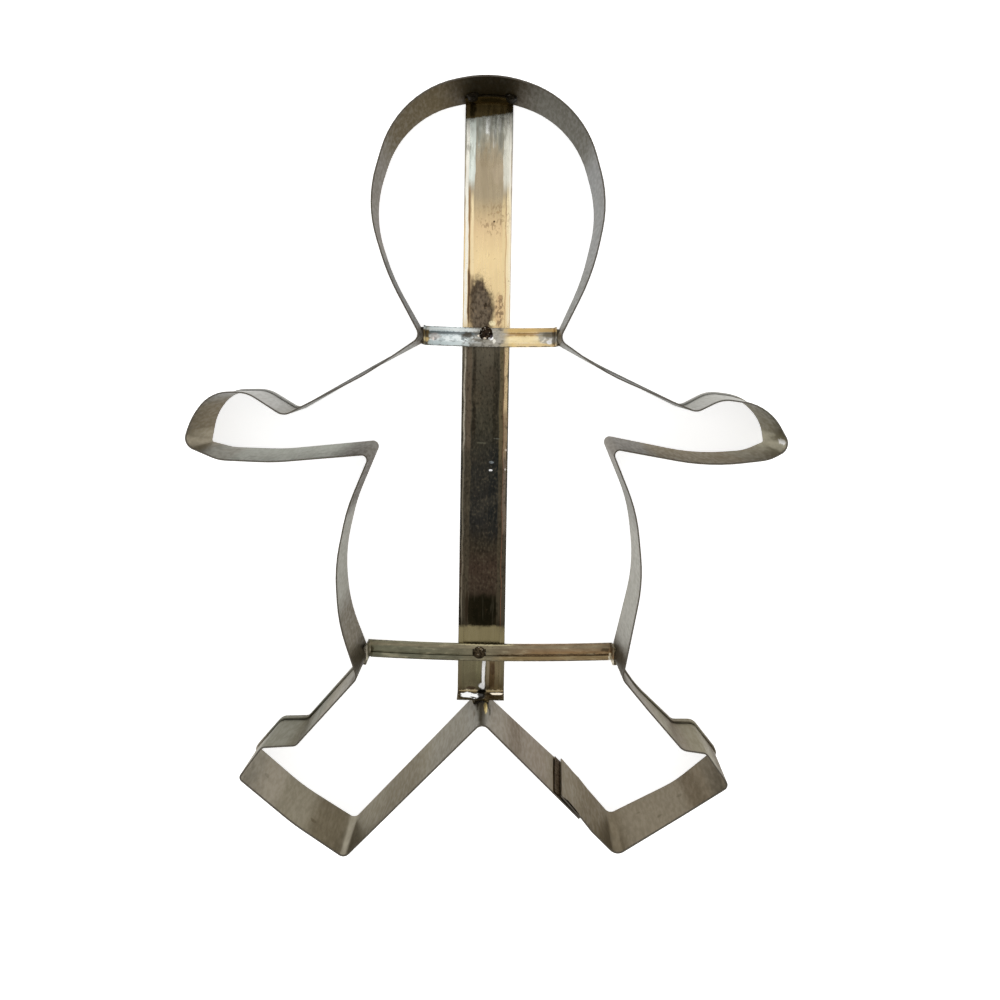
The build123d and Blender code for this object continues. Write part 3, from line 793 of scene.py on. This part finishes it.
def strap_finish():
    made = Finish("strap tin", strap_seed)
    made.uneven(*strap_wander)
    # Painted reflections of the room above make up the strap's colour along its length
    made.colour = made.stripes(made.uneven_y, strap_low_painted_reflections)
    high = made.stripes(made.uneven_y, strap_high_painted_reflections)
    made.tint(high, made.fade(made.y, strap_split - strap_split_soft, strap_split + strap_split_soft))
    for left, right, bottom, top, colour, strength in strap_lines:
        mask = made.bar(left, right, bottom, top)
        made.tint(colour, mask, strength)
        # White lines and patches are painted highlights, kept matt so that they render white
        if colour == white:
            made.matt = made.larger(made.matt, mask)
    for at, half, colour, strength in strap_patches:
        ragged = min(patch_edge_share, patch_wander / max(half))
        mask = made.spot(at, half, patch_edge_share, ragged)
        made.tint(colour, mask, strength)
        if colour == white:
            made.matt = made.larger(made.matt, mask)
    grain = wear(made, *strap_wear)
    for stretch, clouds, rows in strap_mottles:
        made.mottle(made.between(made.y, *stretch), made.noise(*clouds), rows)
    char = made.noise(*char_noise)
    for at, half, soft, ragged, under, rows in strap_burns:
        burn = made.spot(at, half, soft, ragged)
        if under:
            colour, strength = under
            made.tint(colour, burn, strength)
        made.mottle(burn, char, rows)
    strap_tabs(made)
    # Painted dark reflections along the strap's sides and the top edges of its tabs
    off_middle = made.math("ABSOLUTE", made.math("SUBTRACT", made.x, strap_middle))
    made.tint(strap_side_dark_reflection, made.fade(off_middle, *strap_sides), strap_side_strength)
    top_edge = made.product(made.fade(made.z, *tab_top), made.fade(made.face_z, *tab_top_turn))
    made.tint(tab_top_dark_reflection, top_edge, tab_top_strength)
    return made.done(made.fade(grain, 0, 1, *strap_roughness))


def brace_masks(made, brace, row):
    """Every mask that the layers of a brace name."""
    masks = {}
    for name, limits in brace["rows"].items():
        masks[name] = made.between(row, *limits)
    for name, limits in brace["stretches"].items():
        masks[name] = made.between(made.x, *limits)
    for name, limits in brace["sides"].items():
        masks[name] = made.fade(made.uneven_x, *limits)
    for name, limits in brace["ends"].items():
        masks[name] = made.fade(made.x, *limits)
    for name, (size, detail, stretch, seed, start, end) in brace["clouds"].items():
        masks[name] = made.fade(made.noise(size, detail, stretch, seed), start, end)
    return masks


def brace_finish(name, brace):
    made = Finish(name, brace["seed"])
    made.uneven(*brace["wander"])
    made.colour = made.stripes(made.uneven_x, brace["colours"])
    middle, half_length, depth, kind = brace["sag"]
    off_middle = made.math("ABSOLUTE", made.math("SUBTRACT", made.x, middle))
    sag = made.fade(off_middle, 0, half_length, -depth, 0, kind)
    row = made.math("SUBTRACT", made.math("SUBTRACT", made.uneven_y, brace["row"]), sag)
    masks = brace_masks(made, brace, row)
    made.layers(masks, brace["under_layers"])
    for at, half, soft, ragged, colour, strength in brace["marks"]:
        made.tint(colour, made.spot(at, half, soft, ragged), strength)
    made.layers(masks, brace["upper_layers"])
    grain = wear(made, *brace["wear"])
    # Painted dark reflection along the brace's long edges
    start, end, colour, strength = brace["edge"]
    made.tint(colour, made.fade(made.math("ABSOLUTE", row), start, end), strength)
    return made.done(made.fade(grain, 0, 1, *brace["roughness"]))


def solder_finish(name, colour, dark, light, glint, seed, marks):
    """Rough, sooty solder with bright and burnt patches."""
    made = Finish(name, seed)
    made.colour = rgb(colour)
    size, detail, step = blot_noise
    blots = made.noise(size, detail, seed=seed + step)
    for shade, (start, end, strength) in ((dark, blot_dark), (light, blot_light)):
        made.tint(shade, made.fade(blots, start, end), strength)
    size, detail, step = glint_noise
    glints = made.noise(size, detail, seed=seed + step)
    made.tint(glint_colour, made.fade(glints, *glint_levels), glint)
    made.spots(marks, solder_mark_edge_shares)
    made.bump(blots, blot_depth)
    made.bump(glints, glint_depth)
    return made.done(made.fade(blots, *noise_levels, *solder_roughness), solder_metal_share)


dress("outline_band", band_finish())
dress("strap_handle", strap_finish())
dress("neck_brace", brace_finish("neck brace tin", neck_tin))
dress("hip_brace", brace_finish("hip brace tin", hip_tin))
for index, (node, colour, dark, light, glint) in enumerate(solder_colours):
    name = node.replace("_", " ")
    seed = solder_first_seed + index
    marks = solder_marks.get(node, [])
    dress(node, solder_finish(name, colour, dark, light, glint, seed, marks))


def camera():
    made = bpy.data.objects.new("camera", bpy.data.cameras.new("camera"))
    bpy.context.scene.collection.objects.link(made)
    forward = Vector(camera_forward).normalized()
    right = forward.cross(Vector(camera_up)).normalized()
    above = right.cross(forward)
    turn = Matrix((right, above, -forward)).transposed()
    made.matrix_world = Matrix.Translation(Vector(camera_place) * millimetre) @ turn.to_4x4()
    made.data.lens = camera_lens
    made.data.sensor_width = camera_sensor
    made.data.shift_x = camera_across_share
    made.data.shift_y = camera_up_share
    made.data.clip_start = camera_near * millimetre
    made.data.dof.use_dof = False
    bpy.context.scene.camera = made


def floor():
    half = floor_size / 2 * millimetre
    mesh = bpy.data.meshes.new("floor")
    height = -floor_drop * millimetre
    corners = [(x, y, height) for x, y in ((-half, -half), (half, -half), (half, half), (-half, half))]
    mesh.from_pydata(corners, [], [(0, 1, 2, 3)])
    made = bpy.data.objects.new("floor", mesh)
    bpy.context.scene.collection.objects.link(made)
    material = bpy.data.materials.new("floor white")
    material.use_nodes = True
    tree = material.node_tree
    tree.nodes.clear()
    output = tree.nodes.new("ShaderNodeOutputMaterial")
    paper = tree.nodes.new("ShaderNodeBsdfDiffuse")
    paper.inputs["Color"].default_value = (*floor_white, 1)
    glow = tree.nodes.new("ShaderNodeEmission")
    seen = tree.nodes.new("ShaderNodeLightPath")
    rays = tree.nodes.new("ShaderNodeMath")
    rays.operation = "MAXIMUM"
    tree.links.new(seen.outputs["Is Camera Ray"], rays.inputs[0])
    tree.links.new(seen.outputs["Is Glossy Ray"], rays.inputs[1])
    lift = tree.nodes.new("ShaderNodeMath")
    lift.operation = "MULTIPLY"
    lift.inputs[1].default_value = floor_glow
    tree.links.new(rays.outputs[0], lift.inputs[0])
    tree.links.new(lift.outputs[0], glow.inputs["Strength"])
    both = tree.nodes.new("ShaderNodeAddShader")
    tree.links.new(paper.outputs[0], both.inputs[0])
    tree.links.new(glow.outputs[0], both.inputs[1])
    tree.links.new(both.outputs[0], output.inputs["Surface"])
    mesh.materials.append(material)


def room():
    world = bpy.data.worlds.new("room")
    bpy.context.scene.world = world
    world.use_nodes = True
    tree = world.node_tree
    tree.nodes.clear()
    output = tree.nodes.new("ShaderNodeOutputWorld")
    light = tree.nodes.new("ShaderNodeBackground")
    light.inputs["Color"].default_value = (*room_white, 1)
    seen = tree.nodes.new("ShaderNodeLightPath")
    level = tree.nodes.new("ShaderNodeMapRange")
    tree.links.new(seen.outputs["Is Camera Ray"], level.inputs["Value"])
    level.inputs["To Min"].default_value = room_light
    level.inputs["To Max"].default_value = 1
    tree.links.new(level.outputs[0], light.inputs["Strength"])
    tree.links.new(light.outputs[0], output.inputs["Surface"])


def lamp():
    data = bpy.data.lights.new("lamp", "AREA")
    data.shape = "DISK"
    data.size = lamp_size * millimetre
    data.energy = lamp_power
    made = bpy.data.objects.new("lamp", data)
    bpy.context.scene.collection.objects.link(made)
    place = Vector(lamp_place) * millimetre
    aim = (-place).to_track_quat("-Z", "Y").to_matrix().to_4x4()
    made.matrix_world = Matrix.Translation(place) @ aim


camera()
floor()
room()
lamp()
bpy.context.scene.view_settings.view_transform = "Standard"
